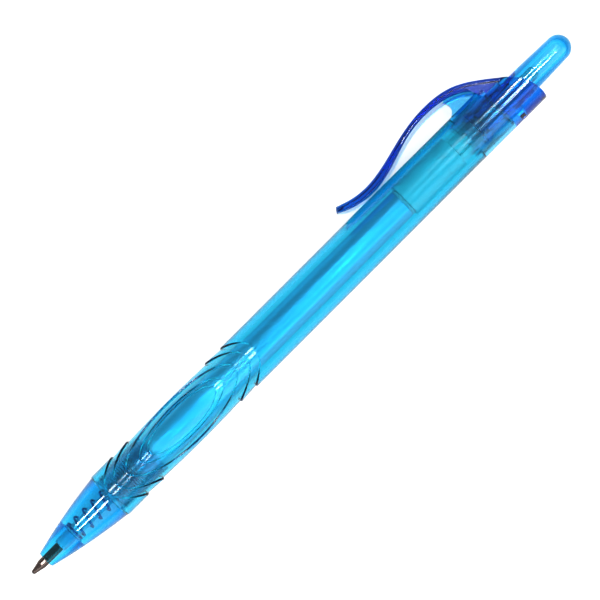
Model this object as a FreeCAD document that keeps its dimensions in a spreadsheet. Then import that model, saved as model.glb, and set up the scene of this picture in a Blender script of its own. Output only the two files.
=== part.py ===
import FreeCAD, Part
import math
import os
import Sketcher

# Retractable gel pen lying on a table.
# Every piece is drawn about the pen's own axis: local X runs from the writing ball (0) to the push button,
# local Y points to the clip. One placement, the same for every piece, rolls the pen until the clip's lower
# edge touches the table and lifts the axis to the barrel's radius.

DIMENSIONS = [
    # whole pen
    ("overall_length", 141.4),
    ("barrel_radius", 5.0),
    ("running_gap", 0.08),
    # barrel and grip
    ("barrel_front", 20.4),
    ("grip_end", 60.0),
    ("barrel_draft_start", 87.0),
    ("barrel_rear", 115.0),
    ("barrel_end_radius", 4.97),
    ("barrel_bore", 3.9),
    ("barrel_spigot_radius", 4.4),
    ("barrel_spigot_end", 123.0),
    ("grip_center", 40.2),
    ("grip_depth", 0.3),
    # nose cone
    ("nose_front", 3.6),
    ("nose_front_radius", 1.75),
    ("nose_rear_radius", 4.8),
    ("nose_curve", 114.0),
    ("nose_hole", 0.98),
    ("nose_bore", 1.45),
    ("spring_seat", 10.8),
    ("spring_chamber", 2.3),
    ("spigot_bore", 3.1),
    ("spigot_end", 32.0),
    ("thread_crest", 3.85),
    ("thread_root", 3.62),
    ("thread_pitch", 0.55),
    # refill
    ("ball_radius", 0.35),
    ("shank_radius", 0.9),
    ("cone_end", 2.5),
    ("neck_front", 7.5),
    ("neck_radius", 1.3),
    ("refill_shoulder", 26.9),
    ("refill_radius", 2.9),
    ("refill_bore", 2.3),
    ("refill_end", 98.5),
    ("ink_end", 80.0),
    ("follower_end", 86.0),
    # spring
    ("spring_radius", 1.85),
    ("wire_radius", 0.2),
    ("spring_pitch", 2.0),
    # cam sleeve, rotor and button
    ("sleeve_front", 114.2),
    ("sleeve_rear", 126.0),
    ("sleeve_radius", 3.4),
    ("sleeve_bore", 2.95),
    ("mouth_end", 117.2),
    ("mouth_radius", 3.84),
    ("mouth_bore", 3.55),
    ("cam_rib_front", 117.0),
    ("cam_rib_rear", 123.8),
    ("cam_rib_radius", 2.35),
    ("cam_rib_angle", 24.0),
    ("slider_rib_angle", 20.0),
    ("rotor_offset", 15.0),
    ("rotor_stem_end", 111.5),
    ("rotor_bore_end", 109.5),
    ("rotor_pin_end", 132.8),
    ("tooth_height", 0.6),
    ("button_front", 118.15),
    ("button_shoulder", 125.2),
    ("button_radius", 2.74),
    ("button_end_radius", 2.5),
    ("button_bore", 1.35),
    ("button_bore_end", 139.9),
    # cap with clip
    ("cap_hole", 2.8),
    ("cap_floor", 126.1),
    ("cap_rear", 130.9),
    ("clip_width", 8.0),
    ("clip_tip_width", 5.6),
    ("clip_tip", 87.4),
    ("clip_taper_end", 105.0),
    ("clip_height", 9.5),
    ("clip_edge", 0.45),
    ("clip_root_front", 122.4),
    ("web_width", 1.8),
]

ELLIPSES = [(8.6, 2.8), (10.65, 3.33), (14.0, 4.64), (16.9, 6.3), (19.1, 7.56)]
CAM_COUNT = 3
TOOTH_COUNT = 6
NOTCH_COUNT = 6
FIRST_RIB = 0
RAMP_MIDDLE = 9

# Longer than any cut has to be, in mm.
THROUGH = 60

# Side outlines of the clip, as (along the pen, away from its axis). The outer one runs on as the cap's rear face.
CLIP_OUTER = [
    (88.5, 8.2),
    (91.9, 6.98),
    (95.6, 6.64),
    (100.1, 7.25),
    (105.1, 8.45),
    (109.5, 9.28),
    (112.9, 9.5),
    (116.3, 9.27),
    (119.2, 8.55),
    (122.1, 7.07),
    (125.4, 4.66),
    (128.1, 2.25),
    (129.8, -0.15),
    (130.7, -2.6),
    (130.9, -4.3),
]
CLIP_INNER = [
    (87.7, 7.3),
    (90.1, 5.95),
    (92.5, 5.3),
    (95.2, 5.1),
    (98.3, 5.28),
    (102.6, 6.38),
    (106.4, 7.55),
    (110.1, 8.2),
    (113.0, 8.25),
    (116.5, 7.8),
    (119.2, 6.85),
    (121.4, 5.3),
]

doc = FreeCAD.newDocument("gel_pen")
sheet = doc.addObject("Spreadsheet::Sheet", "dims")
for row, (alias, value) in enumerate(DIMENSIONS, start=1):
    sheet.set(f"A{row}", alias)
    sheet.set(f"B{row}", str(value))
    sheet.setAlias(f"B{row}", alias)
doc.recompute()

AXIS_ROLL = (
    "asin((dims.barrel_radius - dims.clip_edge)"
    " / sqrt((dims.clip_height - dims.clip_edge)^2 + (dims.clip_width / 2 - dims.clip_edge)^2))"
    " - atan((dims.clip_width / 2 - dims.clip_edge) / (dims.clip_height - dims.clip_edge))"
)
CLIP_REACH = (
    f"(dims.clip_height - dims.clip_edge) * cos({AXIS_ROLL})"
    f" + (dims.clip_width / 2 - dims.clip_edge) * sin({AXIS_ROLL}) + dims.clip_edge"
)

pieces = []


def value(expression):
    """Number that an expression of the sheet's aliases gives."""
    return float(sheet.evalExpression(expression.replace("dims.", "")))


def lay_on_table(piece, label, start="0"):
    """Names the piece and gives it the pen's one placement; start is where its own origin lies along the pen."""
    piece.Label = label
    piece.Placement = FreeCAD.Placement(FreeCAD.Vector(), FreeCAD.Rotation(FreeCAD.Vector(-1, 0, 0), 1))
    piece.setExpression("Placement.Rotation.Angle", AXIS_ROLL)
    piece.setExpression("Placement.Base.x", f"{start} - dims.overall_length / 2")
    piece.setExpression("Placement.Base.y", f"(dims.barrel_radius - ({CLIP_REACH})) / 2")
    piece.setExpression("Placement.Base.z", "dims.barrel_radius")
    pieces.append(piece)


def new_body(label):
    body = doc.addObject("PartDesign::Body", label)
    lay_on_table(body, label)
    return body


def plane(body, role):
    return next(o for o in body.Origin.OriginFeatures if o.Role == role)


def new_sketch(body, name, role="XY_Plane", offset=None):
    sketch = body.newObject("Sketcher::SketchObject", name)
    sketch.AttachmentSupport = [(plane(body, role), "")]
    sketch.MapMode = "FlatFace"
    if offset:
        sketch.setExpression("AttachmentOffset.Base.z", offset)
    return sketch


def arc_through(start, end, radius):
    """Arc from start to end; a positive radius bulges to the left of the way from start to end."""
    chord = end - start
    middle = (start + end) * 0.5
    left = FreeCAD.Vector(-chord.y, chord.x, 0).normalize()
    rise = abs(radius) - math.sqrt(radius**2 - (chord.Length / 2) ** 2)
    return Part.Arc(start, middle + left * math.copysign(rise, radius), end)


def outline(sketch, corners):
    """Closed outline. A corner is (x, y) or (x, y, radius), whose radius bends the side that leaves it."""
    points = [FreeCAD.Vector(value(c[0]), value(c[1]), 0) for c in corners]
    ends = []
    for i, corner in enumerate(corners):
        start, end = points[i], points[(i + 1) % len(points)]
        if len(corner) == 3:
            index = sketch.addGeometry(arc_through(start, end, value(corner[2])))
            begins = sketch.getPoint(index, 1).distanceToPoint(start) < 1e-6
            ends.append((index, 1, 2) if begins else (index, 2, 1))
            sketch.addConstraint(Sketcher.Constraint("Radius", index, abs(value(corner[2]))))
            sketch.setExpression(f"Constraints[{sketch.ConstraintCount - 1}]", f"abs({corner[2]})")
        else:
            index = sketch.addGeometry(Part.LineSegment(start, end))
            ends.append((index, 1, 2))
    for i, (index, begin, finish) in enumerate(ends):
        follower = ends[(i + 1) % len(ends)]
        sketch.addConstraint(Sketcher.Constraint("Coincident", index, finish, follower[0], follower[1]))
        for kind, number, expression in (
            ("DistanceX", points[i].x, corners[i][0]),
            ("DistanceY", points[i].y, corners[i][1]),
        ):
            at = sketch.addConstraint(Sketcher.Constraint(kind, -1, 1, index, begin, number))
            if "dims." in expression:
                sketch.setExpression(f"Constraints[{at}]", expression)


def revolve(body, name, corners, kind="PartDesign::Revolution"):
    """Turns an outline of (along the axis, radius) corners about the pen's axis, adding or cutting."""
    sketch = new_sketch(body, f"{name}_outline")
    outline(sketch, corners)
    feature = body.newObject(kind, name)
    feature.Profile = sketch
    feature.ReferenceAxis = (sketch, ["H_Axis"])
    feature.Angle = 360
    return feature


def sector_ribs(body, name, count, inner, outer, width, first_angle, front, length, kind="PartDesign::Pad"):
    """Ribs along the axis, or grooves, evenly spaced about it: one ring sector extruded and patterned."""
    sketch = new_sketch(body, f"{name}_section", "YZ_Plane", front)
    half = value(width) / 2
    low, high = (math.radians(first_angle + side * half) for side in (-1, 1))
    corners = [
        FreeCAD.Vector(value(radius) * math.cos(angle), value(radius) * math.sin(angle), 0)
        for radius, angle in ((inner, low), (outer, low), (outer, high), (inner, high))
    ]
    middle = math.radians(first_angle)
    outward = FreeCAD.Vector(math.cos(middle), math.sin(middle), 0)
    sketch.addGeometry(Part.LineSegment(corners[0], corners[1]))
    sketch.addGeometry(Part.Arc(corners[1], outward * value(outer), corners[2]))
    sketch.addGeometry(Part.LineSegment(corners[2], corners[3]))
    sketch.addGeometry(Part.Arc(corners[3], outward * value(inner), corners[0]))
    rib = body.newObject(kind, name)
    rib.Profile = sketch
    rib.setExpression("Length", length)
    if kind == "PartDesign::Pocket":
        rib.Reversed = True
    ring = body.newObject("PartDesign::PolarPattern", f"{name}_ring")
    ring.Originals = [rib]
    ring.Axis = (plane(body, "X_Axis"), [""])
    ring.Angle = 360
    ring.Occurrences = count
    body.Tip = ring
    return ring


def make_nose_cone():
    """Ogive with a step that seats the spring, and behind it a spigot with thread crests."""
    body = new_body("nose_cone")
    corner = "0.35"
    revolve(body, "shell", [
        ("dims.nose_front", "dims.nose_hole"),
        ("dims.nose_front", f"dims.nose_front_radius - {corner}", corner),
        (f"dims.nose_front + {corner}", "dims.nose_front_radius", "dims.nose_curve"),
        ("dims.barrel_front", "dims.nose_rear_radius"),
        ("dims.barrel_front", "dims.thread_root"),
        ("dims.barrel_front + 0.9", "dims.thread_root"),
        ("dims.barrel_front + 1.1", "dims.thread_crest"),
        ("dims.spigot_end - 0.5", "dims.thread_crest"),
        ("dims.spigot_end", "dims.thread_root"),
        ("dims.spigot_end", "dims.spigot_bore"),
        ("dims.spring_seat + 7.5", "dims.spigot_bore"),
        ("dims.spring_seat", "dims.spring_chamber"),
        ("dims.spring_seat", "dims.nose_bore"),
        ("dims.nose_front + 3.6", "dims.nose_bore"),
        ("dims.nose_front + 0.8", "dims.nose_hole"),
    ])
    groove = revolve(body, "thread_groove", [
        ("dims.barrel_front + 1.3", "dims.thread_crest + 0.1"),
        ("dims.barrel_front + 1.5", "dims.thread_root"),
        ("dims.barrel_front + 1.7", "dims.thread_crest + 0.1"),
    ], "PartDesign::Groove")
    threads = body.newObject("PartDesign::LinearPattern", "threads")
    threads.Originals = [groove]
    threads.Direction = (groove.Profile[0], ["H_Axis"])
    threads.Mode = "Spacing"
    threads.setExpression("Offset", "dims.thread_pitch")
    threads.Occurrences = int((value("dims.spigot_end - dims.barrel_front") - 2.2) / value("dims.thread_pitch"))
    body.Tip = threads


def make_barrel():
    """Tube with a slight draft towards both ends, a rear spigot for the cap, and two grips of elliptical steps."""
    tube = doc.addObject("PartDesign::Body", "barrel_tube")
    revolve(tube, "tube", [
        ("dims.barrel_front", "dims.barrel_bore"),
        ("dims.barrel_front", "dims.barrel_end_radius - 0.15"),
        ("dims.barrel_front + 0.15", "dims.barrel_end_radius"),
        ("dims.grip_end", "dims.barrel_radius"),
        ("dims.barrel_draft_start", "dims.barrel_radius"),
        ("dims.barrel_rear", "dims.barrel_end_radius"),
        ("dims.barrel_rear", "dims.barrel_spigot_radius"),
        ("dims.barrel_spigot_end - 0.3", "dims.barrel_spigot_radius"),
        ("dims.barrel_spigot_end", "dims.barrel_spigot_radius - 0.3"),
        ("dims.barrel_spigot_end", "dims.sleeve_radius + 0.03"),
        ("dims.mouth_end + 1.6", "dims.sleeve_radius + 0.03"),
        ("dims.mouth_end + 0.35", "dims.barrel_bore"),
    ])
    doc.recompute()
    core = doc.addObject("Part::Cylinder", "grip_core")
    core.setExpression("Radius", "dims.barrel_radius - dims.grip_depth")
    core.setExpression("Height", "dims.barrel_rear - dims.barrel_front")
    core.Placement = FreeCAD.Placement(
        FreeCAD.Vector(value("dims.barrel_front"), 0, 0), FreeCAD.Rotation(FreeCAD.Vector(0, 1, 0), 90)
    )
    steps = doc.addObject("Part::Feature", "grip_steps")
    steps.Shape = Part.makeCompound([elliptical_step(along, across) for along, across in ELLIPSES])
    cutter = doc.addObject("Part::Cut", "grip_cutter")
    cutter.Base = steps
    cutter.Tool = core
    barrel = doc.addObject("Part::Cut", "barrel")
    barrel.Base = tube
    barrel.Tool = cutter
    lay_on_table(barrel, "barrel")


def elliptical_step(along, across):
    """Band inside one ellipse of the grip, through the whole barrel; it spans the last 0.7 mm before the ridge."""
    band = 0.7
    reach = 2 * value("dims.barrel_radius")
    center = FreeCAD.Vector(value("dims.grip_center"), 0, -reach)

    def disc(major, minor):
        curve = Part.Ellipse(center, major, minor)
        return Part.Face(Part.Wire(curve.toShape()))

    ring = disc(along, across).cut(disc(along - band, across - band * across / along))
    return ring.extrude(FreeCAD.Vector(0, 0, 2 * reach))


def make_return_spring():
    body = new_body("return_spring")
    sketch = new_sketch(body, "wire_section")
    front = "dims.spring_seat + dims.wire_radius + 0.05"
    center = FreeCAD.Vector(value(front), value("dims.spring_radius"), 0)
    sketch.addGeometry(Part.Circle(center, FreeCAD.Vector(0, 0, 1), value("dims.wire_radius")))
    for kind, expression in (("DistanceX", front), ("DistanceY", "dims.spring_radius")):
        at = sketch.addConstraint(Sketcher.Constraint(kind, -1, 1, 0, 3, value(expression)))
        sketch.setExpression(f"Constraints[{at}]", expression)
    at = sketch.addConstraint(Sketcher.Constraint("Radius", 0, value("dims.wire_radius")))
    sketch.setExpression(f"Constraints[{at}]", "dims.wire_radius")
    coil = body.newObject("PartDesign::AdditiveHelix", "coil")
    coil.Profile = sketch
    coil.ReferenceAxis = (sketch, ["H_Axis"])
    coil.Mode = "pitch-height-angle"
    coil.LeftHanded = True
    coil.setExpression("Pitch", "dims.spring_pitch")
    coil.setExpression("Height", "dims.refill_shoulder - dims.spring_seat - 2 * dims.wire_radius - 0.1")


def make_refill():
    ball = doc.addObject("Part::Sphere", "writing_ball")
    ball.setExpression("Radius", "dims.ball_radius")
    lay_on_table(ball, "writing_ball", "dims.ball_radius")
    revolve(new_body("metal_tip"), "tip", [
        ("0.3", "dims.ball_radius + 0.01"),
        ("0.25", "dims.ball_radius + 0.05"),
        ("dims.cone_end", "dims.shank_radius"),
        ("dims.neck_front + 3", "dims.shank_radius"),
        ("dims.neck_front + 3", "0.45"),
        ("dims.cone_end", "0.45"),
        ("dims.cone_end - 0.6", "0.15"),
        ("2 * dims.ball_radius + 0.05", "0.15"),
        ("2 * dims.ball_radius + 0.05", "dims.ball_radius + 0.01"),
    ])
    revolve(new_body("tip_holder"), "holder", [
        ("dims.neck_front", "dims.shank_radius + 0.01"),
        ("dims.neck_front", "dims.neck_radius - 0.2"),
        ("dims.neck_front + 0.4", "dims.neck_radius"),
        ("dims.refill_shoulder", "dims.neck_radius"),
        ("dims.refill_shoulder", "dims.refill_radius - 0.2"),
        ("dims.refill_shoulder + 0.2", "dims.refill_radius"),
        ("dims.refill_shoulder + 1.3", "dims.refill_radius"),
        ("dims.refill_shoulder + 1.3", "dims.refill_bore - 0.02"),
        ("dims.refill_shoulder + 6", "dims.refill_bore - 0.02"),
        ("dims.refill_shoulder + 6", "0.6"),
        ("dims.neck_front + 3.1", "0.6"),
        ("dims.neck_front + 3.1", "dims.shank_radius + 0.01"),
    ])
    revolve(new_body("refill_tube"), "tube", [
        ("dims.refill_shoulder + 1.35", "dims.refill_bore"),
        ("dims.refill_shoulder + 1.35", "dims.refill_radius"),
        ("dims.refill_end - 0.65", "dims.refill_radius"),
        ("dims.refill_end - 0.65", "dims.refill_bore"),
    ])
    revolve(new_body("gel_ink"), "column", [
        ("dims.refill_shoulder + 6.05", "0"),
        ("dims.refill_shoulder + 6.05", "dims.refill_bore - 0.03"),
        ("dims.ink_end", "dims.refill_bore - 0.03"),
        ("dims.ink_end", "0"),
    ])
    revolve(new_body("ink_follower"), "grease", [
        ("dims.ink_end + 0.05", "0"),
        ("dims.ink_end + 0.05", "dims.refill_bore - 0.03"),
        ("dims.follower_end", "dims.refill_bore - 0.03"),
        ("dims.follower_end - 0.8", "0"),
    ])
    revolve(new_body("rear_plug"), "plug", [
        ("dims.refill_end - 4", "0.4"),
        ("dims.refill_end - 4", "dims.refill_bore - 0.32"),
        ("dims.refill_end - 3.7", "dims.refill_bore - 0.02"),
        ("dims.refill_end - 0.6", "dims.refill_bore - 0.02"),
        ("dims.refill_end - 0.6", "dims.refill_radius"),
        ("dims.refill_end - 0.15", "dims.refill_radius"),
        ("dims.refill_end", "dims.refill_radius - 0.15"),
        ("dims.refill_end", "0.4"),
    ])


def make_cam_sleeve():
    """Guide tube fixed in the barrel: a wide notched mouth takes the rotor's stem when the pen is retracted,
    three ribs inside hold the rotor out, and the gaps between them let it back."""
    body = new_body("cam_sleeve")
    revolve(body, "tube", [
        ("dims.sleeve_front", "dims.mouth_bore"),
        ("dims.sleeve_front", "dims.mouth_radius"),
        ("dims.mouth_end + 0.3", "dims.mouth_radius"),
        ("dims.mouth_end + 1.5", "dims.sleeve_radius"),
        ("dims.sleeve_rear", "dims.sleeve_radius"),
        ("dims.sleeve_rear", "dims.sleeve_bore"),
        ("dims.mouth_end + 0.3", "dims.sleeve_bore"),
        ("dims.mouth_end", "dims.mouth_bore"),
    ])
    sector_ribs(body, "cam_ribs", CAM_COUNT, "dims.cam_rib_radius", "dims.sleeve_bore + 0.2",
                "dims.cam_rib_angle", FIRST_RIB, "dims.cam_rib_front", "dims.cam_rib_rear - dims.cam_rib_front")
    sector_ribs(body, "ramps", CAM_COUNT, "dims.cam_rib_radius - 0.1", "dims.sleeve_bore",
                "8", RAMP_MIDDLE, "dims.cam_rib_front - 0.1", "0.8", "PartDesign::Pocket")
    sector_ribs(body, "notches", NOTCH_COUNT, "dims.mouth_bore - 0.2", "dims.mouth_radius + 0.2",
                "22", 30, "dims.sleeve_front - 0.1", "0.8", "PartDesign::Pocket")
    plan = new_sketch(body, "snap_lug_plan", "XZ_Plane", "dims.sleeve_radius - 0.3")
    outline(plan, snap_outline("0.1"))
    lug = body.newObject("PartDesign::Pad", "snap_lug")
    lug.Profile = plan
    lug.setExpression("Length", "dims.barrel_radius - dims.sleeve_radius + 0.2")
    body.Tip = lug


def snap_outline(clearance):
    """Plan of the cap's snap window, or with a clearance of the lug in it, on the side away from the clip."""
    front = f"dims.cap_floor - 1.5 + {clearance}"
    rear = f"dims.cap_floor - 0.3 - {clearance}"
    side = f"(0.8 - {clearance})"
    return [(front, f"-{side}"), (rear, f"-{side}"), (rear, side), (front, side)]


def tooth_ring(body, name, count, inner, outer, base, direction):
    """Ring of triangular cam teeth on a round end face: each tooth is one padded triangle, patterned."""
    sketch = new_sketch(body, f"{name}_section", "XY_Plane", inner)
    half = f"{math.pi / count * 0.75:.4f} * ({outer})"
    root = f"{base} - {direction * 0.1}"
    outline(sketch, [
        (root, f"-{half}"),
        (root, half),
        (f"{base} + {direction} * dims.tooth_height", "0"),
    ])
    tooth = body.newObject("PartDesign::Pad", name)
    tooth.Profile = sketch
    tooth.setExpression("Length", f"({outer}) - ({inner})")
    ring = body.newObject("PartDesign::PolarPattern", f"{name}_ring")
    ring.Originals = [tooth]
    ring.Axis = (plane(body, "X_Axis"), [""])
    ring.Angle = 360
    ring.Occurrences = count
    body.Tip = ring


def make_cam_rotor():
    """Hollow stem that pushes the refill, three ribs that rest on the sleeve's ribs, teeth and a rear pin."""
    body = new_body("cam_rotor")
    stem = "dims.mouth_bore - 0.1"
    rib_edge = "dims.sleeve_bore - 0.1"
    neck = "dims.cam_rib_radius - 0.15"
    pin = "dims.button_bore - dims.running_gap"
    teeth = "dims.button_front - dims.tooth_height - 0.15"
    revolve(body, "stem", [
        ("dims.refill_end + 0.05", "dims.refill_bore"),
        ("dims.refill_end + 0.05", stem),
        ("dims.rotor_stem_end", stem),
        ("dims.rotor_stem_end + 0.3", neck),
        (teeth, neck),
        (teeth, pin),
        ("dims.rotor_pin_end - 0.3", pin),
        ("dims.rotor_pin_end", f"{pin} - 0.3"),
        ("dims.rotor_pin_end", "0"),
        ("dims.rotor_bore_end", "0"),
        ("dims.rotor_bore_end - 1", "dims.refill_bore"),
    ])
    sector_ribs(body, "ribs", CAM_COUNT, "dims.cam_rib_radius - 0.3", rib_edge, "dims.slider_rib_angle",
                value("dims.rotor_offset"), "dims.rotor_stem_end - 0.2",
                "dims.cam_rib_front - dims.rotor_stem_end + 0.15")
    tooth_ring(body, "teeth", TOOTH_COUNT, f"{pin} + 0.15", f"{neck} - 0.1", teeth, 1)


def make_push_button():
    """Plunger with a domed end, a blind bore for the rotor's pin, guide ribs and cam teeth at its front."""
    body = new_body("push_button")
    shaft = "dims.cam_rib_radius - 0.1"
    teeth = "dims.button_front + dims.tooth_height"
    revolve(body, "plunger", [
        (teeth, "dims.button_bore"),
        (teeth, shaft),
        ("dims.button_shoulder", shaft),
        ("dims.button_shoulder", "dims.button_radius"),
        ("dims.cap_rear", "dims.button_radius"),
        ("dims.overall_length - dims.button_end_radius", "dims.button_end_radius", "dims.button_end_radius"),
        ("dims.overall_length", "0"),
        ("dims.button_bore_end", "0", "-dims.button_bore"),
        ("dims.button_bore_end - dims.button_bore", "dims.button_bore"),
    ])
    sector_ribs(body, "guides", CAM_COUNT, "dims.cam_rib_radius - 0.3", "dims.sleeve_bore - 0.1",
                "dims.slider_rib_angle", 60, f"{teeth} + 0.15", "1.7")
    tooth_ring(body, "teeth", TOOTH_COUNT, "dims.button_bore + 0.05", f"{shaft} - 0.1", teeth, -1)


def spline(points):
    curve = Part.BSplineCurve()
    curve.interpolate([FreeCAD.Vector(x, y, 0) for x, y in points])
    return curve


def closed_by_lines(sketch, curves):
    """Adds the curves in order and joins each one's end to the next one's start with a straight side."""
    for i, curve in enumerate(curves):
        sketch.addGeometry(curve)
        here, there = curve.EndPoint, curves[(i + 1) % len(curves)].StartPoint
        if here.distanceToPoint(there) > 1e-6:
            sketch.addGeometry(Part.LineSegment(here, there))


def make_collar_clip():
    """Cap and clip in one moulding; the clip's outer curve runs on across the cap as its rear face."""
    body = new_body("collar_clip")
    revolve(body, "cap", [
        ("dims.barrel_rear + 0.02", "0"),
        ("dims.barrel_rear + 0.02", "dims.barrel_radius"),
        ("dims.cap_rear + 0.5", "dims.barrel_radius"),
        ("dims.cap_rear + 0.5", "0"),
    ])
    outer = spline(CLIP_OUTER)
    strap_end = CLIP_OUTER[:-3]
    strap = new_sketch(body, "strap_side")
    root = FreeCAD.Vector(*strap_end[-1], 0)
    closed_by_lines(strap, [
        part_of(outer, outer.StartPoint, root),
        Part.LineSegment(root, FreeCAD.Vector(value("dims.clip_root_front"), root.y, 0)),
        reversed_curve(spline(CLIP_INNER)),
    ])
    pad_both_ways(body, "strap", strap, "dims.clip_width")
    web = new_sketch(body, "web_side")
    outline(web, [
        ("dims.barrel_rear + 0.5", "dims.barrel_radius - 0.1", "-1.75"),
        ("dims.barrel_rear + 1.2", "dims.clip_height - 1.6"),
        ("dims.barrel_rear + 4", "dims.clip_height - 1.9"),
        ("dims.barrel_rear + 8", "dims.barrel_radius - 0.2"),
    ])
    pad_both_ways(body, "web", web, "dims.web_width")
    plan = new_sketch(body, "clip_plan", "XZ_Plane")
    outline(plan, [
        ("dims.clip_taper_end", "dims.clip_width / 2"),
        ("dims.clip_taper_end", "dims.clip_width"),
        ("dims.clip_tip - 3", "dims.clip_width"),
        ("dims.clip_tip - 3", "-dims.clip_width"),
        ("dims.clip_taper_end", "-dims.clip_width"),
        ("dims.clip_taper_end", "-dims.clip_width / 2"),
        ("dims.clip_tip + 2", "-dims.clip_tip_width / 2", "3.4"),
        ("dims.clip_tip", "0", "3.4"),
        ("dims.clip_tip + 2", "dims.clip_tip_width / 2"),
    ])
    trim = body.newObject("PartDesign::Pocket", "clip_taper")
    trim.Profile = plan
    trim.SideType = "Symmetric"
    trim.Length = THROUGH
    rear = new_sketch(body, "rear_cut")
    margin = 3
    beyond = value("dims.cap_rear") + margin
    below = outer.EndPoint.y - margin
    above = value("dims.clip_height") + margin
    closed_by_lines(rear, [
        outer,
        Part.LineSegment(outer.EndPoint, FreeCAD.Vector(outer.EndPoint.x - 0.3, below, 0)),
        Part.LineSegment(FreeCAD.Vector(beyond, below, 0), FreeCAD.Vector(beyond, above, 0)),
        Part.LineSegment(FreeCAD.Vector(outer.StartPoint.x, above, 0), outer.StartPoint),
    ])
    cut = body.newObject("PartDesign::Pocket", "rear_face")
    cut.Profile = rear
    cut.SideType = "Symmetric"
    cut.Length = THROUGH
    revolve(body, "bore", [
        ("dims.barrel_rear - 1", "0"),
        ("dims.barrel_rear - 1", "dims.barrel_spigot_radius + 0.02"),
        ("dims.barrel_spigot_end + 0.05", "dims.barrel_spigot_radius + 0.02"),
        ("dims.barrel_spigot_end + 0.05", "dims.sleeve_radius + 0.03"),
        ("dims.cap_floor", "dims.sleeve_radius + 0.03"),
        ("dims.cap_floor", "dims.cap_hole"),
        ("dims.cap_rear + 2", "dims.cap_hole"),
        ("dims.cap_rear + 2", "0"),
    ], "PartDesign::Groove")
    window = new_sketch(body, "snap_window_plan", "XZ_Plane", "dims.sleeve_radius - 0.3")
    outline(window, snap_outline("0"))
    snap = body.newObject("PartDesign::Pocket", "snap_window")
    snap.Profile = window
    snap.Length = THROUGH
    snap.Reversed = True
    body.Tip = snap
    round_strap(body, snap)


def round_strap(body, base):
    """Rounds the clip's long curved edges, all of which lie clear of the cap's own cylinder."""
    doc.recompute()
    solid = base.Shape.copy()
    solid.Placement = FreeCAD.Placement()
    edges = []
    for number, edge in enumerate(solid.Edges, start=1):
        middle = edge.valueAt((edge.FirstParameter + edge.LastParameter) / 2)
        clear = middle.y > value("dims.barrel_radius") + 0.05 and abs(middle.z) > value("dims.web_width") / 2 + 0.1
        curved = not isinstance(edge.Curve, Part.Line)
        if clear and curved and edge.Length > 1 and middle.x < value("dims.barrel_spigot_end"):
            edges.append(f"Edge{number}")
    fillet = body.newObject("PartDesign::Fillet", "clip_edges")
    fillet.Base = (base, edges)
    fillet.setExpression("Radius", "dims.clip_edge")
    body.Tip = fillet


def reversed_curve(curve):
    flipped = curve.copy()
    flipped.reverse()
    return flipped


def part_of(curve, start, end):
    """The stretch of a curve between two of its points."""
    piece = curve.copy()
    piece.segment(curve.parameter(start), curve.parameter(end))
    return piece


def pad_both_ways(body, name, sketch, width):
    pad = body.newObject("PartDesign::Pad", name)
    pad.Profile = sketch
    pad.SideType = "Symmetric"
    pad.setExpression("Length", width)
    body.Tip = pad


make_nose_cone()
make_barrel()
make_return_spring()
make_refill()
make_cam_sleeve()
make_cam_rotor()
make_push_button()
make_collar_clip()
doc.recompute()

failed = [item.Label for item in doc.Objects if {"Invalid", "Error"} & set(item.State)]
if failed:
    raise RuntimeError(f"these failed: {failed}")
os.makedirs("parts", exist_ok=True)
for piece in pieces:
    shape = piece.Shape
    if shape.isNull() or not shape.isValid():
        raise RuntimeError(f"{piece.Label} has no valid shape")
    print(f"{piece.Label}: {len(shape.Solids)} solid, {shape.Volume:.1f} mm3, {shape.BoundBox}")
for piece in pieces:
    piece.Shape.exportStep(f"parts/{piece.Label}.step")
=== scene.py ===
import math

import bmesh
import bpy
from mathutils import Matrix, Vector


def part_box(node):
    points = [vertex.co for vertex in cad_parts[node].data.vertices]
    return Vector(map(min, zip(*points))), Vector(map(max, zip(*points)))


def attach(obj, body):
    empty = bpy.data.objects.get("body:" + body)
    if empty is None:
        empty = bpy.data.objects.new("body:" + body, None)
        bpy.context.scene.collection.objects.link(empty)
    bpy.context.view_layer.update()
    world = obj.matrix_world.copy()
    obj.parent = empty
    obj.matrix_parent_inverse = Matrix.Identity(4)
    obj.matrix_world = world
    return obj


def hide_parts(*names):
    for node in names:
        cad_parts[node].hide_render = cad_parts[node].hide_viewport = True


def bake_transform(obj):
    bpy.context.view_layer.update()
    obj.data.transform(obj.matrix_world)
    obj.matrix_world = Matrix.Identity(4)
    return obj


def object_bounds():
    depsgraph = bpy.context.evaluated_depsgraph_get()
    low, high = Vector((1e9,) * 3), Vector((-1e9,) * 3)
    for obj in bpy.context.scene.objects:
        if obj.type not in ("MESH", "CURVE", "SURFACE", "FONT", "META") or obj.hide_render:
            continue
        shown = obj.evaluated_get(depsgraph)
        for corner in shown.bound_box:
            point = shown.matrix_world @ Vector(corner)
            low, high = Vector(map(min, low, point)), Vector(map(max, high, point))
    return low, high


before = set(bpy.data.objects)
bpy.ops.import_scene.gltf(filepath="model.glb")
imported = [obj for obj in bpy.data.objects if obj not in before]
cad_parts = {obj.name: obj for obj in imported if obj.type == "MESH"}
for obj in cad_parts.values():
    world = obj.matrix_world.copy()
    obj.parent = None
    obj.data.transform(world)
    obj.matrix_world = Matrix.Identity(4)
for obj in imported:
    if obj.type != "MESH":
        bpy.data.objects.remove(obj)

cad_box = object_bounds()

# Everything about the pen is worked out in its own frame, in millimetres: x runs from the writing ball to
# the push button, y points to the clip, and z is square to both. pen_to_row takes it to the row's, in metres.
MM = 0.001
OVERALL = 141.4

CLIP_WIDTH, CLIP_HEIGHT, CLIP_EDGE = 8.0, 9.5, 0.45

BARREL_RADIUS, END_RADIUS, BARREL_BORE = 5.0, 4.97, 3.9
BARREL_FRONT, GRIP_END, DRAFT_START, BARREL_REAR = 20.4, 60.0, 87.0, 115.0
BARREL_CHAMFER = 0.15
SPIGOT_RADIUS, SPIGOT_END = 4.4, 123.0
SLEEVE_RADIUS, MOUTH_END = 3.4, 117.2

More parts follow.
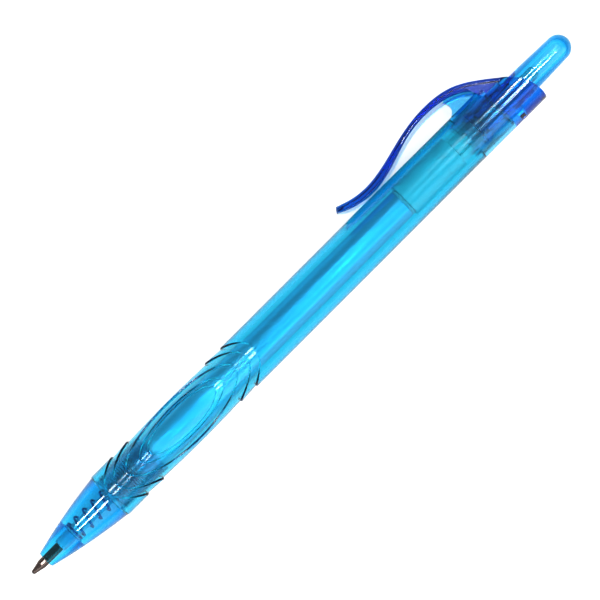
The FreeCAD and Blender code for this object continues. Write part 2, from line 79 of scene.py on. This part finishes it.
# Each step of the grip is an ellipse about GRIP_CENTER: half its length, and half its width.
GRIP_CENTER, GRIP_DEPTH = 40.2, 0.3
GRIP_ELLIPSES = [(8.6, 2.8), (10.65, 3.33), (14.0, 4.64), (16.9, 6.3), (19.1, 7.56)]
STEP_WIDTH, HOLLOW_SHARE = 0.16, 0.45

NOSE_FRONT, NOSE_REAR_RADIUS, NOSE_BORE, NOSE_HOLE, NOSE_BULGE = 3.6, 4.8, 1.45, 0.98, 0.28
NOSE_SPIGOT_REAR, NOSE_SPIGOT_BORE, SPRING_CHAMBER = 32.0, 3.1, 2.3
THREAD_ROOT, THREAD_CREST, THREAD_PITCH = 3.62, 3.85, 0.55

SEAT, SHOULDER = 10.8, 26.9
SPRING_RADIUS, WIRE, COIL_GAP = 1.85, 0.2, 0.03
CLOSED_TURNS, OPEN_TURNS, CLOSED_SPREAD, STEPS_PER_TURN = 1.25, 6.5, 1.04, 40

BALL_RADIUS, SHANK_RADIUS, SHANK_BORE, SHANK_REAR = 0.35, 0.90, 0.45, 10.5
NECK_FRONT, NECK_RADIUS, INK_CHANNEL = 7.5, 1.30, 0.6
REFILL_RADIUS, REFILL_BORE, PRESS_FIT_RADIUS = 2.9, 2.3, 2.28
HOLDER_RIM_REAR, HOLDER_REAR = 28.2, 32.9
INK_RADIUS, INK_END, GREASE_EDGE, MENISCUS_DEPTH = 2.27, 80.0, 86.0, 0.8
PLUG_FRONT, PLUG_RIM_FRONT, REFILL_END, PLUG_VENT = 94.5, 97.9, 98.5, 0.4

# Edges that turn by more than this are drawn sharp.
PIECE_CREASE, NODE_CREASE = math.radians(32), math.radians(30)


def pen_frame():
    """The pen's frame: its axis is the refill's, and the clip's lower edge rests on the table."""
    low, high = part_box("refill_tube")
    axis = (Vector(low) + Vector(high)) / 2
    reach_up, reach_side = CLIP_HEIGHT - CLIP_EDGE, CLIP_WIDTH / 2 - CLIP_EDGE
    roll = math.asin((BARREL_RADIUS - CLIP_EDGE) / math.hypot(reach_up, reach_side))
    roll -= math.atan2(reach_side, reach_up)
    origin = Matrix.Translation((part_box("writing_ball")[0][0], axis.y, axis.z))
    return origin @ Matrix.Rotation(-roll, 4, "X") @ Matrix.Scale(MM, 4)


pen_to_row = pen_frame()


# ---------------------------------------------------------------- building meshes

def shade(mesh, crease):
    for polygon in mesh.polygons:
        polygon.use_smooth = True
    mesh.set_sharp_from_angle(angle=crease)


def piece_from(name, mesh, body, nodes, material):
    """Puts a mesh of the pen's frame in the row, smooth shaded, in the place of CAD nodes."""
    mesh.transform(pen_to_row)
    mesh.materials.append(material)
    obj = bpy.data.objects.new(name, mesh)
    bpy.context.scene.collection.objects.link(obj)
    shade(mesh, PIECE_CREASE)
    if body:
        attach(obj, body)
    if nodes:
        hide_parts(*nodes)
    return obj


def finished(bm, name):
    bmesh.ops.recalc_face_normals(bm, faces=bm.faces)
    mesh = bpy.data.meshes.new(name)
    bm.to_mesh(mesh)
    bm.free()
    return mesh


def corner_arc(center, radius, start, end, steps=6):
    """Points of an arc between two angles in degrees, for a lathe outline."""
    angles = [math.radians(start + (end - start) * i / steps) for i in range(steps + 1)]
    return [(center[0] + radius * math.cos(a), center[1] + radius * math.sin(a)) for a in angles]


def bow(start, end, sagitta, steps=24):
    """Points of a shallow curve that bulges outward by its sagitta between two outline points."""
    points = []
    for i in range(steps + 1):
        t = i / steps
        points.append((
            start[0] + (end[0] - start[0]) * t,
            start[1] + (end[1] - start[1]) * t + 4 * sagitta * t * (1 - t),
        ))
    return points


def softened(outline, radius=0.06, steps=3):
    """The closed lathe outline with every corner that turns by more than 25 degrees rounded a little."""
    points = []
    count = len(outline)
    for i in range(count):
        before, here, after = (Vector(outline[(i + k) % count]) for k in (-1, 0, 1))
        arm_in, arm_out = here - before, after - here
        on_axis, too_short = here.y < 1e-6, min(arm_in.length, arm_out.length) < 1e-6
        if on_axis or too_short or arm_in.angle(arm_out) < math.radians(25):
            points.append(tuple(here))
            continue
        cut = min(radius, arm_in.length * 0.4, arm_out.length * 0.4)
        first, last = here - arm_in.normalized() * cut, here + arm_out.normalized() * cut
        for k in range(steps + 1):
            t = k / steps
            points.append(tuple(first * (1 - t) ** 2 + here * 2 * t * (1 - t) + last * t * t))
    return points


def join_rings(bm, a, b):
    """Faces between two rings of vertices, either of which may be a single point on the axis."""
    if len(a) == 1 and len(b) == 1:
        return
    count = max(len(a), len(b))
    for k in range(count):
        n = (k + 1) % count
        if len(a) == 1:
            bm.faces.new((a[0], b[n], b[k]))
        elif len(b) == 1:
            bm.faces.new((a[k], a[n], b[0]))
        else:
            bm.faces.new((a[k], a[n], b[n], b[k]))


def lathe(outline, sides=96, radius=0.06):
    """Solid of revolution about the pen's axis from a closed outline of (x, radius) points."""
    bm = bmesh.new()
    angles = [2 * math.pi * k / sides for k in range(sides)]
    rings = []
    for x, r in softened(outline, radius):
        if r < 1e-6:
            rings.append([bm.verts.new((x, 0, 0))])
        else:
            rings.append([bm.verts.new((x, r * math.cos(a), r * math.sin(a))) for a in angles])
    for i, ring in enumerate(rings):
        join_rings(bm, ring, rings[(i + 1) % len(rings)])
    return finished(bm, "lathe")


# ---------------------------------------------------------------- barrel

def grip_relief(x, side):
    """Depth under the grip's steps: a ridge at each ellipse, a drop inside it and a slow rise inward."""
    reach = [math.hypot((x - GRIP_CENTER) / a, side / b) for a, b in GRIP_ELLIPSES]
    if reach[-1] >= 1:
        return 0
    step = next(i for i, share in enumerate(reach) if share < 1)
    inside = 1 - reach[step]
    if step == 0:
        depth = max(0.0, 1 - inside / HOLLOW_SHARE)
    else:
        depth = 1 - inside / max(1e-6, inside + (reach[step - 1] - 1))
    ease = min(1.0, inside * GRIP_ELLIPSES[step][0] / STEP_WIDTH)
    return GRIP_DEPTH * depth * ease


def barrel_outer_radius(x, angle):
    """Radius with the draft towards both ends, the front edge's chamfer and the grip's steps."""
    front = BARREL_FRONT + BARREL_CHAMFER
    if x < front:
        return END_RADIUS - (front - x)
    drafted = max((GRIP_END - x) / (GRIP_END - front), (x - DRAFT_START) / (BARREL_REAR - DRAFT_START), 0)
    radius = BARREL_RADIUS - (BARREL_RADIUS - END_RADIUS) * drafted
    return radius - grip_relief(x, BARREL_RADIUS * math.cos(angle))


def barrel_stations(step):
    """Places of the outside's rings: the chamfer, the grip in fine steps, then the plain and drafted parts."""
    grip_end = GRIP_CENTER + GRIP_ELLIPSES[-1][0] + 0.5
    stations = [BARREL_FRONT + 0.05 * i for i in range(4)]
    front, count = stations[-1], int((grip_end - stations[-1]) / step)
    stations += [front + (grip_end - front) * (i + 1) / count for i in range(count)]
    stations += [grip_end + (DRAFT_START - grip_end) * i / 8 for i in range(1, 9)]
    stations += [DRAFT_START + (BARREL_REAR - 0.01 - DRAFT_START) * i / 8 for i in range(1, 9)]
    return stations


def barrel_mesh():
    """Tube with the sculpted grip, a rear spigot for the cap and a stepped bore."""
    sides, step = ((512, 0.075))
    angles = [2 * math.pi * k / sides for k in range(sides)]
    bm = bmesh.new()

    def ring(x, radii):
        return [bm.verts.new((x, r * math.cos(a), r * math.sin(a))) for a, r in zip(angles, radii)]

    rings = [ring(x, [barrel_outer_radius(x, a) for a in angles]) for x in barrel_stations(step)]
    sleeve_seat = SLEEVE_RADIUS + 0.03
    for x, r in (
        (BARREL_REAR, END_RADIUS - 0.01),
        (BARREL_REAR, SPIGOT_RADIUS),
        (SPIGOT_END - 0.3, SPIGOT_RADIUS),
        (SPIGOT_END, SPIGOT_RADIUS - 0.3),
        (SPIGOT_END, sleeve_seat),
        (MOUTH_END + 1.6, sleeve_seat),
        (MOUTH_END + 0.35, BARREL_BORE),
        (GRIP_END, BARREL_BORE),
        (BARREL_FRONT + 0.1, BARREL_BORE),
        (BARREL_FRONT, BARREL_BORE + 0.1),
    ):
        rings.append(ring(x, [r] * sides))
    for i, a in enumerate(rings):
        join_rings(bm, a, rings[(i + 1) % len(rings)])
    return finished(bm, "barrel")


# ---------------------------------------------------------------- spring

def wire_along(path, radius):
    """Round wire along a list of points, with flat ends."""
    curve = bpy.data.curves.new("path", "CURVE")
    curve.dimensions = "3D"
    curve.bevel_depth = radius
    curve.bevel_resolution = 5
    curve.use_fill_caps = True
    spline = curve.splines.new("POLY")
    spline.points.add(len(path) - 1)
    for point, place in zip(spline.points, path):
        point.co = (*place, 1)
    holder = bpy.data.objects.new("path", curve)
    bpy.context.scene.collection.objects.link(holder)
    mesh = bpy.data.meshes.new_from_object(holder.evaluated_get(bpy.context.evaluated_depsgraph_get()))
    bpy.data.objects.remove(holder)
    return mesh


def spring_mesh():
    """Left-handed compression spring: closed coils at each end, and even open coils between them."""
    start, end = SEAT + WIRE + COIL_GAP, SHOULDER - WIRE - COIL_GAP
    turns = 2 * CLOSED_TURNS + OPEN_TURNS
    rise = CLOSED_TURNS * 2 * WIRE * CLOSED_SPREAD
    path = []
    for i in range(int(turns * STEPS_PER_TURN) + 1):
        turn = i / STEPS_PER_TURN
        if turn < CLOSED_TURNS:
            x = start + turn / CLOSED_TURNS * rise
        elif turn > turns - CLOSED_TURNS:
            x = end - (turns - turn) / CLOSED_TURNS * rise
        else:
            x = start + rise + (turn - CLOSED_TURNS) / OPEN_TURNS * (end - start - 2 * rise)
        a = 2 * math.pi * turn
        path.append((x, SPRING_RADIUS * math.cos(a), -SPRING_RADIUS * math.sin(a)))
    return wire_along(path, WIRE)


# ---------------------------------------------------------------- outlines of the turned pieces

def nose_outline():
    """Ogive, thread, spring chamber with its seat, and the hole for the point."""
    thread = []
    x = BARREL_FRONT + 1.1
    while x < NOSE_SPIGOT_REAR - 0.9:
        thread += [
            (x, THREAD_CREST), (x + 0.18, THREAD_CREST), (x + 0.30, THREAD_ROOT), (x + 0.43, THREAD_ROOT)
        ]
        x += THREAD_PITCH
    return (
        [(NOSE_FRONT, NOSE_HOLE)]
        + corner_arc((NOSE_FRONT + 0.35, 1.40), 0.35, 180, 105)
        + bow((NOSE_FRONT + 0.5, 1.78), (BARREL_FRONT - 0.05, NOSE_REAR_RADIUS), NOSE_BULGE, 40)
        + [(BARREL_FRONT, NOSE_REAR_RADIUS - 0.05), (BARREL_FRONT, THREAD_ROOT)]
        + [(BARREL_FRONT + 0.9, THREAD_ROOT)]
        + thread
        + [(NOSE_SPIGOT_REAR - 0.35, THREAD_CREST - 0.05), (NOSE_SPIGOT_REAR, THREAD_ROOT)]
        + [(NOSE_SPIGOT_REAR, NOSE_SPIGOT_BORE)]
        + [(SEAT + 7.5, NOSE_SPIGOT_BORE), (SEAT, SPRING_CHAMBER), (SEAT, NOSE_BORE)]
        + [(NOSE_FRONT + 3.6, NOSE_BORE), (NOSE_FRONT + 0.8, NOSE_HOLE)]
    )


def ball_outline():
    angles = [math.pi * k / 24 for k in range(24, -1, -1)]
    return [(BALL_RADIUS + BALL_RADIUS * math.cos(a), BALL_RADIUS * math.sin(a)) for a in angles]


def tip_outline():
    """Point of the refill: crimped lip round the ball, cone, a small shoulder and the plain shank."""
    socket, channel = BALL_RADIUS + 0.01, 0.15
    return [
        (0.30, socket), (0.22, 0.37), (0.24, 0.41), (0.62, 0.47), (2.30, 0.84), (2.55, SHANK_RADIUS),
        (SHANK_REAR, SHANK_RADIUS), (SHANK_REAR, SHANK_BORE), (2.5, SHANK_BORE),
        (1.9, channel), (0.75, channel), (0.75, socket),
    ]


def holder_outline():
    """Neck behind the point, the shoulder that the spring pushes on, and the plug in the refill's tube."""
    grip = SHANK_RADIUS + 0.01
    return [
        (NECK_FRONT, grip), (NECK_FRONT, 1.12), (NECK_FRONT + 0.2, 1.25), (8.2, NECK_RADIUS),
        (SHOULDER, NECK_RADIUS), (SHOULDER, REFILL_RADIUS - 0.2), (SHOULDER + 0.2, REFILL_RADIUS),
        (HOLDER_RIM_REAR, REFILL_RADIUS), (HOLDER_RIM_REAR, PRESS_FIT_RADIUS),
        (HOLDER_REAR, PRESS_FIT_RADIUS), (HOLDER_REAR, INK_CHANNEL), (SHANK_REAR + 0.1, INK_CHANNEL),
        (SHANK_REAR + 0.1, grip),
    ]


def tube_outline():
    front, rear = HOLDER_RIM_REAR + 0.05, PLUG_RIM_FRONT - 0.05
    return [(front, REFILL_BORE), (front, REFILL_RADIUS), (rear, REFILL_RADIUS), (rear, REFILL_BORE)]


def plug_outline():
    """Vented plug: a chamfered press fit in the tube, and a rim behind it."""
    chamfer = 0.15
    return [
        (PLUG_FRONT, PLUG_VENT), (PLUG_FRONT, PRESS_FIT_RADIUS - 0.3), (PLUG_FRONT + 0.3, PRESS_FIT_RADIUS),
        (PLUG_RIM_FRONT, PRESS_FIT_RADIUS), (PLUG_RIM_FRONT, REFILL_RADIUS),
        (REFILL_END - chamfer, REFILL_RADIUS), (REFILL_END, REFILL_RADIUS - chamfer), (REFILL_END, PLUG_VENT),
    ]


def ink_outline():
    front = HOLDER_REAR + 0.05
    return [(front, 0), (front, INK_RADIUS), (INK_END, INK_RADIUS), (INK_END, 0)]


def follower_outline():
    """Grease plug with a meniscus at its free end."""
    front, low = INK_END + 0.05, GREASE_EDGE - MENISCUS_DEPTH
    meniscus = [(low + MENISCUS_DEPTH * (r / INK_RADIUS) ** 2, r) for r in (INK_RADIUS, 2.0, 1.6, 1.1, 0.6, 0)]
    return [(front, 0), (front, INK_RADIUS)] + meniscus


# ---------------------------------------------------------------- materials

def new_material(name):
    material = bpy.data.materials.new(name)
    material.use_nodes = True
    tree = material.node_tree
    return material, tree, tree.nodes["Principled BSDF"]


def noise(tree, scale, detail=3.0, stretch=(1, 1, 1)):
    """Noise in the object's own coordinates, stretched along the axes."""
    place = tree.nodes.new("ShaderNodeTexCoord")
    mapping = tree.nodes.new("ShaderNodeMapping")
    mapping.inputs["Scale"].default_value = stretch
    texture = tree.nodes.new("ShaderNodeTexNoise")
    texture.inputs["Scale"].default_value = scale
    texture.inputs["Detail"].default_value = detail
    tree.links.new(place.outputs["Object"], mapping.inputs["Vector"])
    tree.links.new(mapping.outputs["Vector"], texture.inputs["Vector"])
    return texture.outputs["Fac"]


def varied_roughness(tree, shader, source, low, high):
    spread = tree.nodes.new("ShaderNodeMapRange")
    spread.inputs["To Min"].default_value = low
    spread.inputs["To Max"].default_value = high
    tree.links.new(source, spread.inputs["Value"])
    tree.links.new(spread.outputs["Result"], shader.inputs["Roughness"])


def bumped(tree, shader, source, distance):
    bump = tree.nodes.new("ShaderNodeBump")
    bump.inputs["Distance"].default_value = distance
    bump.inputs["Strength"].default_value = 1.0
    tree.links.new(source, bump.inputs["Height"])
    tree.links.new(bump.outputs["Normal"], shader.inputs["Normal"])


def clear_plastic(name, absorbed, roughness):
    """Tinted see-through plastic. absorbed is how much of red, green and blue each millimetre takes away."""
    material, tree, shader = new_material(name)
    shader.inputs["Base Color"].default_value = (1, 1, 1, 1)
    shader.inputs["Transmission Weight"].default_value = 1
    shader.inputs["IOR"].default_value = 1.49
    varied_roughness(tree, shader, noise(tree, 900, 2), roughness * 0.7, roughness * 1.3)
    bumped(tree, shader, noise(tree, 260, 1, (0.35, 1, 1)), 0.0000025)
    density = max(absorbed) * 1.02 / MM
    inside = tree.nodes.new("ShaderNodeVolumeAbsorption")
    inside.inputs["Color"].default_value = [1 - a / MM / density for a in absorbed] + [1]
    inside.inputs["Density"].default_value = density
    tree.links.new(inside.outputs["Volume"], tree.nodes["Material Output"].inputs["Volume"])
    return material


def milky_plastic(name, color, roughness, passing):
    """Pale plastic that may let some light through."""
    material, tree, shader = new_material(name)
    shader.inputs["Base Color"].default_value = (*color, 1)
    shader.inputs["Subsurface Weight"].default_value = passing
    shader.inputs["Subsurface Radius"].default_value = (0.002, 0.002, 0.002)
    shader.inputs["Subsurface Scale"].default_value = 1.0
    varied_roughness(tree, shader, noise(tree, 700), roughness * 0.8, roughness * 1.2)
    bumped(tree, shader, noise(tree, 1500), 0.000004)
    return material


def metal(name, color, roughness, brushing=(1, 1, 1)):
    """Metal with fine turning or drawing marks."""
    material, tree, shader = new_material(name)
    shader.inputs["Base Color"].default_value = (*color, 1)
    shader.inputs["Metallic"].default_value = 1
    shader.inputs["Specular Tint"].default_value = (0.35, 0.33, 0.31, 1)
    marks = noise(tree, 1200, 4, brushing)
    varied_roughness(tree, shader, marks, roughness * 0.75, roughness * 1.3)
    bumped(tree, shader, marks, 0.000002)
    return material


def liquid(name, color, roughness):
    material, tree, shader = new_material(name)
    shader.inputs["Base Color"].default_value = (*color, 1)
    shader.inputs["Coat Weight"].default_value = 0.6
    varied_roughness(tree, shader, noise(tree, 400), roughness * 0.7, roughness * 1.3)
    bumped(tree, shader, noise(tree, 300), 0.00001)
    return material


BARREL = clear_plastic("barrel_plastic", (1.40, 0.225, 0.092), 0.16)
NOSE = clear_plastic("nose_plastic", (1.30, 0.26, 0.085), 0.035)
BUTTON = clear_plastic("button_plastic", (1.05, 0.23, 0.070), 0.070)
CAP = clear_plastic("cap_plastic", (1.35, 0.31, 0.075), 0.090)
SLEEVE = clear_plastic("sleeve_plastic", (1.30, 0.42, 0.030), 0.12)
ROTOR = milky_plastic("rotor_plastic", (0.70, 1.00, 1.00), 0.4, 0.0)
HOLDER = milky_plastic("holder_plastic", (0.60, 0.90, 1.00), 0.35, 0.0)
PLUG = milky_plastic("plug_plastic", (0.75, 0.88, 0.92), 0.4, 0.3)
REFILL = metal("refill_metal", (0.50, 0.80, 0.98), 0.42, (0.05, 1, 1))
TIP = metal("tip_metal", (0.16, 0.13, 0.12), 0.14, (8, 0.3, 0.3))
BALL = metal("ball_metal", (0.30, 0.30, 0.31), 0.12)
SPRING = metal("spring_steel", (0.18, 0.28, 0.52), 0.28)
INK = liquid("ink", (0.01, 0.03, 0.22), 0.15)
GREASE = liquid("grease", (0.75, 0.74, 0.60), 0.2)


# ---------------------------------------------------------------- pieces

piece_from("barrel_shell", barrel_mesh(), "housing", ["barrel"], BARREL)
piece_from("nose_shell", lathe(nose_outline(), 128), "nose", ["nose_cone"], NOSE)
piece_from("point", lathe(tip_outline(), 96, 0.03), "refill", ["metal_tip"], TIP)
piece_from("ball", lathe(ball_outline(), 48, 0), "refill", ["writing_ball"], BALL)
piece_from("holder", lathe(holder_outline()), "refill", ["tip_holder"], HOLDER)
piece_from("refill_body", lathe(tube_outline(), 128), "refill", ["refill_tube"], REFILL)
piece_from("refill_plug", lathe(plug_outline()), "refill", ["rear_plug"], PLUG)
piece_from("ink_column", lathe(ink_outline(), 64), "refill", ["gel_ink"], INK)
piece_from("follower", lathe(follower_outline(), 64), "refill", ["ink_follower"], GREASE)
spring = piece_from("coil_spring", spring_mesh(), None, ["return_spring"], SPRING)
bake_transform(spring)

for node, material in (
    ("collar_clip", CAP), ("cam_sleeve", SLEEVE), ("cam_rotor", ROTOR), ("push_button", BUTTON)
):
    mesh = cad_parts[node].data
    mesh.materials.clear()
    mesh.materials.append(material)
    shade(mesh, NODE_CREASE)


# ---------------------------------------------------------------- studio, in metres

FLOOR_GAP, FLOOR_GLOW, SKY = 0.00002, 0.80, 0.64
SOFTBOX_RADIANCE = 1.75
STRIP_HEIGHT = 0.5
# Each strip light: its name, its ends along the pen, its place across, its width and its radiance.
STRIPS = (
    ("nose_near_clip", -0.31, -0.20, 0.165, 0.08, 28),
    ("nose_far", -0.31, -0.20, -0.095, 0.08, 28),
    ("cap_near_clip", 0.100, 0.15, 0.165, 0.08, 36),
    ("cap_far", 0.100, 0.15, -0.095, 0.11, 34),
)
CAMERA_HEIGHT, FIELD_WIDTH, FRAMING_UP = 0.60, 0.1121, 0.0011


def area_light(name, place, target, width, depth, radiance):
    """Soft rectangular light; its first side runs along the row's X where it can."""
    light = bpy.data.lights.new(name, "AREA")
    light.shape = "RECTANGLE"
    light.size, light.size_y = width, depth
    light.energy = radiance * math.pi * width * depth
    obj = bpy.data.objects.new(name, light)
    bpy.context.scene.collection.objects.link(obj)
    away = (Vector(place) - Vector(target)).normalized()
    side = Vector((1, 0, 0))
    side = (side - away * side.dot(away)).normalized()
    obj.matrix_world = Matrix.Translation(place) @ Matrix((side, away.cross(side), away)).transposed().to_4x4()


def set_up_rendering(scene):
    """Plain view transform, and enough bounces for light to pass every wall of the pen."""
    scene.view_settings.view_transform = "Standard"
    scene.view_settings.gamma = 0.72
    scene.cycles.max_bounces = 24
    scene.cycles.transmission_bounces = 24


def build_floor(scene):
    bm = bmesh.new()
    bmesh.ops.create_grid(bm, x_segments=2, y_segments=2, size=3)
    floor = bpy.data.objects.new("floor", finished(bm, "floor"))
    floor.location.z = cad_box[0][2] - FLOOR_GAP
    scene.collection.objects.link(floor)
    material, tree, shader = new_material("floor_card")
    shader.inputs["Base Color"].default_value = (0.40, 0.40, 0.40, 1)
    shader.inputs["Emission Color"].default_value = (1, 1, 1, 1)
    shader.inputs["Emission Strength"].default_value = FLOOR_GLOW
    varied_roughness(tree, shader, noise(tree, 30), 0.7, 0.9)
    floor.data.materials.append(material)


def build_lights(scene):
    world = bpy.data.worlds.new("studio")
    scene.world = world
    world.use_nodes = True
    background = world.node_tree.nodes["Background"]
    background.inputs["Color"].default_value = (1, 1, 1, 1)
    background.inputs["Strength"].default_value = SKY
    area_light("side_softbox", (0, -0.50, 0.40), (0, 0, 0), 1.1, 0.42, SOFTBOX_RADIANCE)
    for name, start, end, across, width, radiance in STRIPS:
        middle = (start + end) / 2
        place, target = (middle, across, STRIP_HEIGHT), (middle / 2, 0, 0)
        area_light(f"strip_{name}", place, target, end - start, width, radiance)


def build_camera(scene):
    """Looks straight down on the pen, turned so that it lies from the lower left to the upper right."""
    camera = bpy.data.cameras.new("camera")
    camera.angle = 2 * math.atan(FIELD_WIDTH / 2 / CAMERA_HEIGHT)
    holder = bpy.data.objects.new("camera", camera)
    middle = pen_to_row @ Vector((OVERALL / 2, 0, 0))
    turn = Matrix.Rotation(math.radians(-45), 4, "Z")
    up = turn @ Vector((0, 1, 0))
    place = middle + Vector((0, 0, CAMERA_HEIGHT)) + up * FRAMING_UP
    holder.matrix_world = Matrix.Translation(place) @ turn
    scene.collection.objects.link(holder)
    bpy.context.scene.camera = holder


set_up_rendering(bpy.context.scene)
build_floor(bpy.context.scene)
build_lights(bpy.context.scene)
build_camera(bpy.context.scene)
